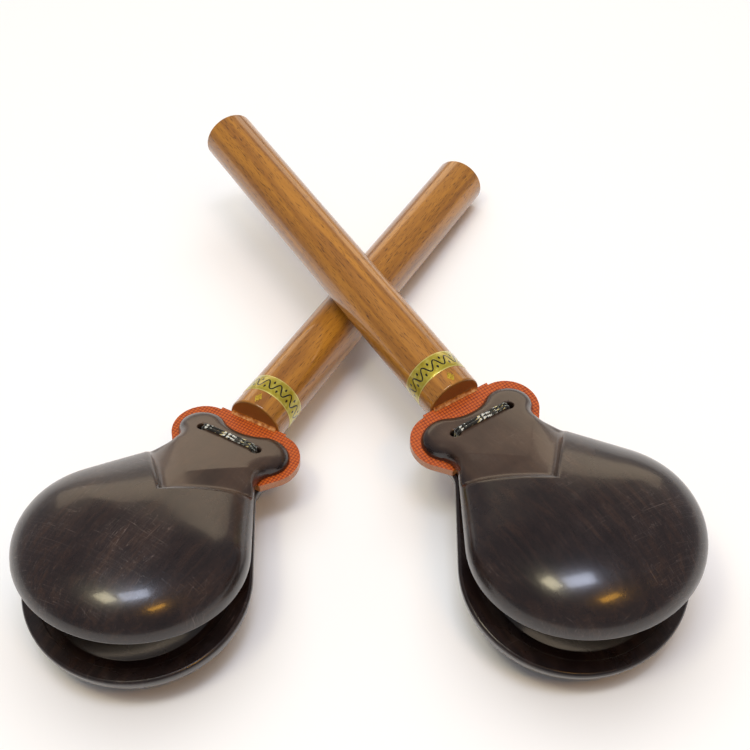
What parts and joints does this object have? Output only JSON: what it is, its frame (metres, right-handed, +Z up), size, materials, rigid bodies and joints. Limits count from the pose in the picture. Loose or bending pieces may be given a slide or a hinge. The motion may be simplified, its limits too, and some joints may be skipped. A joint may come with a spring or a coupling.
{
  "type": "handle castanets",
  "caption": "Pair of orchestral handle castanets laid crossed: turned handles, laminate bridge plates and hollowed shells that an elastic cord springs open.",
  "frame": {"origin": "on the surface the pair rests on, under the middle of its bounding box", "axes": "+Z up, +Y from the shells towards the far ends of the handles, +X from the left shells to the right shells"},
  "size_m": [0.2166, 0.241, 0.0527],
  "materials": {
    "walnut": "satin lacquered walnut",
    "gold_foil": "printed gold foil",
    "gold_leaf": "gold leaf",
    "canvas_laminate": "woven phenolic laminate",
    "glue": "clear amber glue",
    "rosewood": "polished dark rosewood",
    "elastic_cord": "braided elastic cord"
  },
  "bodies": {
    "left_handle_body": {"left_handle": "walnut", "left_foil_band": "gold_foil", "left_gold_mark": "gold_leaf", "left_bridge_plate": "canvas_laminate", "left_glue_bead": "glue", "left_cord_core": "elastic_cord"},
    "left_upper_clapper": {"left_upper_shell": "rosewood", "left_cord_top": "elastic_cord"},
    "left_lower_clapper": {"left_lower_shell": "rosewood", "left_cord_knot": "elastic_cord"},
    "right_handle_body": {"right_handle": "walnut", "right_foil_band": "gold_foil", "right_gold_mark": "gold_leaf", "right_bridge_plate": "canvas_laminate", "right_glue_bead": "glue", "right_cord_core": "elastic_cord"},
    "right_upper_clapper": {"right_upper_shell": "rosewood", "right_cord_top": "elastic_cord"},
    "right_lower_clapper": {"right_lower_shell": "rosewood", "right_cord_knot": "elastic_cord"}
  },
  "joints": [
    {"name": "left_upper_close", "type": "hinge", "parent": "left_handle_body", "child": "left_upper_clapper", "pos_m": [-0.04698, -0.04055, 0.02338], "axis": [0.8574, -0.5144, -0.0174], "range_deg": [0, 7.4], "stiffness_Nm_per_rad": 1, "springref_deg": -11.46},
    {"name": "left_lower_close", "type": "hinge", "parent": "left_handle_body", "child": "left_lower_clapper", "pos_m": [-0.04714, -0.0407, 0.02019], "axis": [-0.8574, 0.5144, 0.0174], "range_deg": [0, 7.4], "stiffness_Nm_per_rad": 1, "springref_deg": -11.46},
    {"name": "right_upper_close", "type": "hinge", "parent": "right_handle_body", "child": "right_upper_clapper", "pos_m": [0.04713, -0.04417, 0.03078], "axis": [0.8574, 0.5145, -0.0157], "range_deg": [0, 7.4], "stiffness_Nm_per_rad": 1, "springref_deg": -11.46},
    {"name": "right_lower_close", "type": "hinge", "parent": "right_handle_body", "child": "right_lower_clapper", "pos_m": [0.04673, -0.04413, 0.0276], "axis": [-0.873, -0.4874, 0.018], "range_deg": [0, 7.4], "stiffness_Nm_per_rad": 1, "springref_deg": -11.46},
    {"name": "right_lift", "type": "slide", "parent": "left_handle_body", "child": "right_handle_body", "axis": [0, 0, 1], "range_m": [0, 0.12]}
  ]
}
